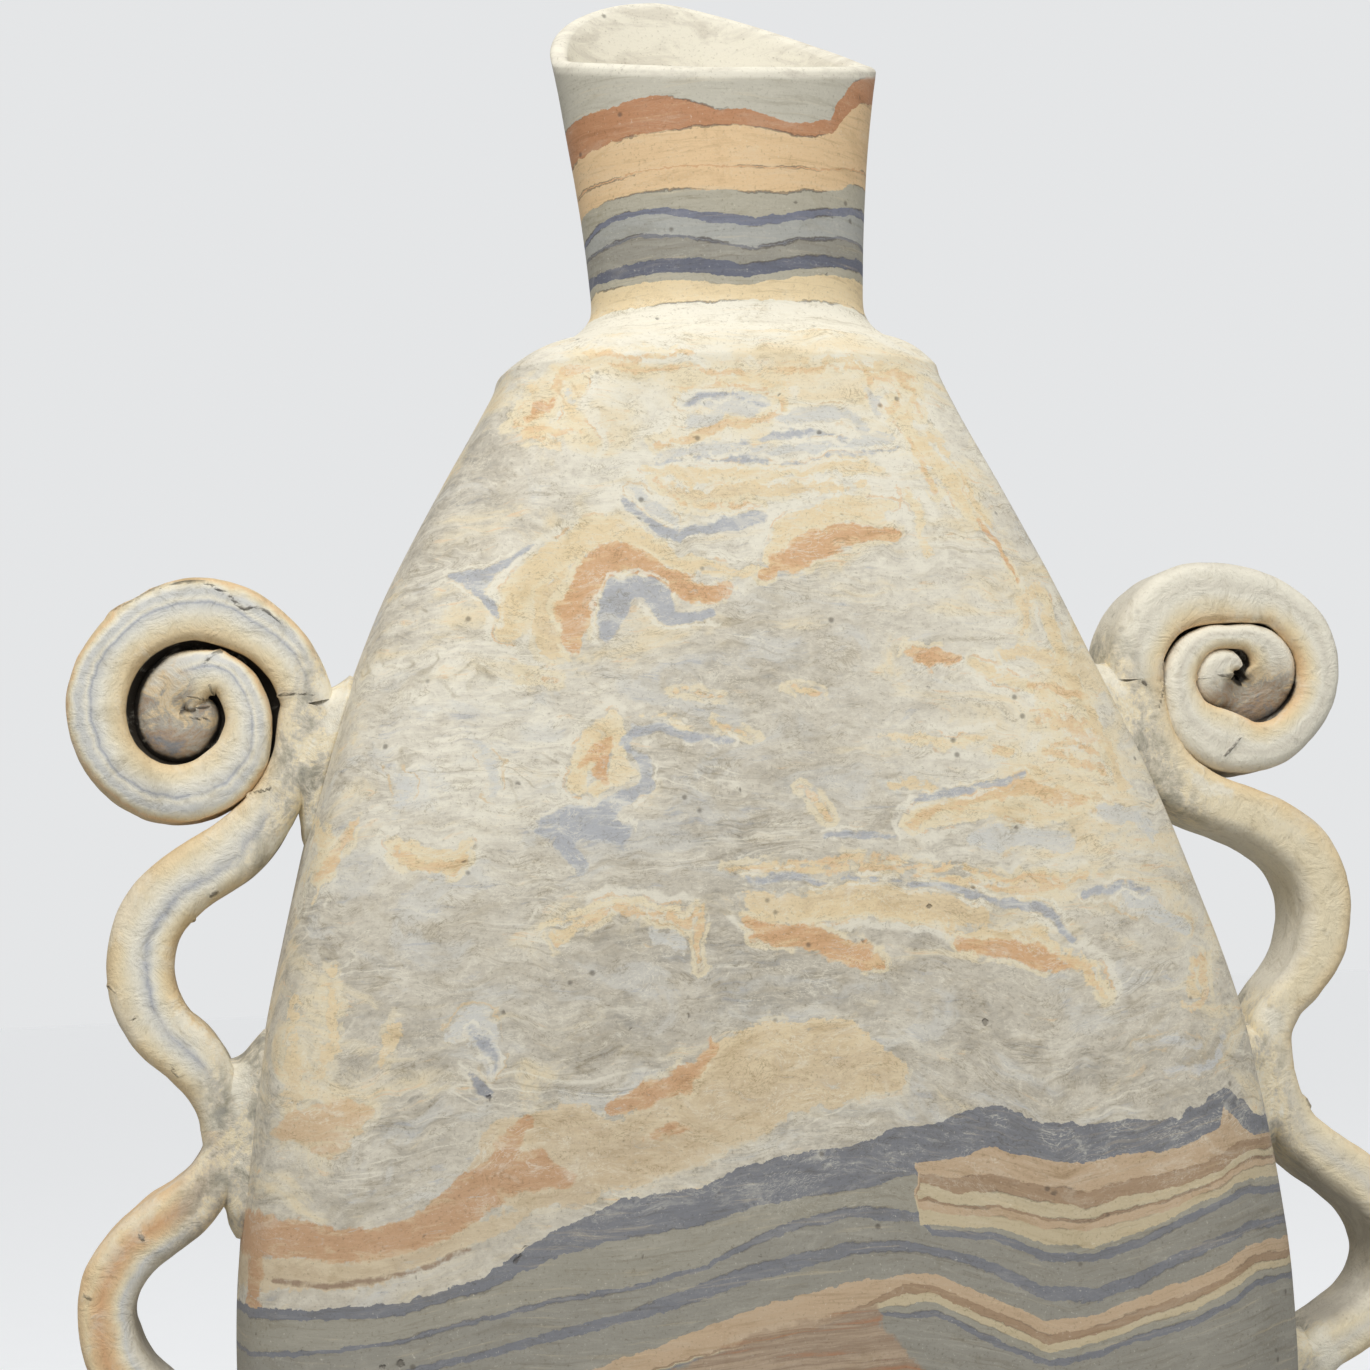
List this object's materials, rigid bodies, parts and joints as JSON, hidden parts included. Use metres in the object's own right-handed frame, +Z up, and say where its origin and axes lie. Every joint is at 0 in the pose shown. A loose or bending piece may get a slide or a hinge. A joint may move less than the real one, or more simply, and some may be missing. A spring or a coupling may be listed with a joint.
{
  "type": "scroll-handled vase",
  "caption": "Flattened, slab-built vase in marbled clay with a tapered neck, an uneven rim and a scrolled, looping strap handle down each side.",
  "frame": {"origin": "middle of the flat foot, on the surface that the vase stands on", "axes": "+Z up, -Y out of the broad front, +X to the right seen from the front"},
  "size_m": [0.2937, 0.086, 0.4004],
  "materials": {
    "marbled_body": "unglazed marbled clay, scraped and burnished, matte",
    "marbled_neck": "unglazed banded clay, burnished, matte",
    "handle_clay": "unglazed striped clay, hand-smoothed, matte",
    "joint_clay": "pale clay smeared over the joints, rough",
    "base_clay": "unglazed clay, dry and matte"
  },
  "bodies": {
    "root": {"base_slab": "base_clay", "front_slab": "marbled_body", "back_slab": "marbled_body", "left_side_slab": "marbled_body", "right_side_slab": "marbled_body", "shoulder_slab": "marbled_body", "neck_joint_coil": "joint_clay", "neck_tube": "marbled_neck", "left_scroll": "handle_clay", "left_upper_strap": "handle_clay", "left_lower_strap": "handle_clay", "left_upper_pad": "joint_clay", "left_middle_pad": "joint_clay", "left_lower_pad": "joint_clay", "right_scroll": "handle_clay", "right_upper_strap": "handle_clay", "right_lower_strap": "handle_clay", "right_upper_pad": "joint_clay", "right_middle_pad": "joint_clay", "right_lower_pad": "joint_clay"}
  },
  "joints": []
}
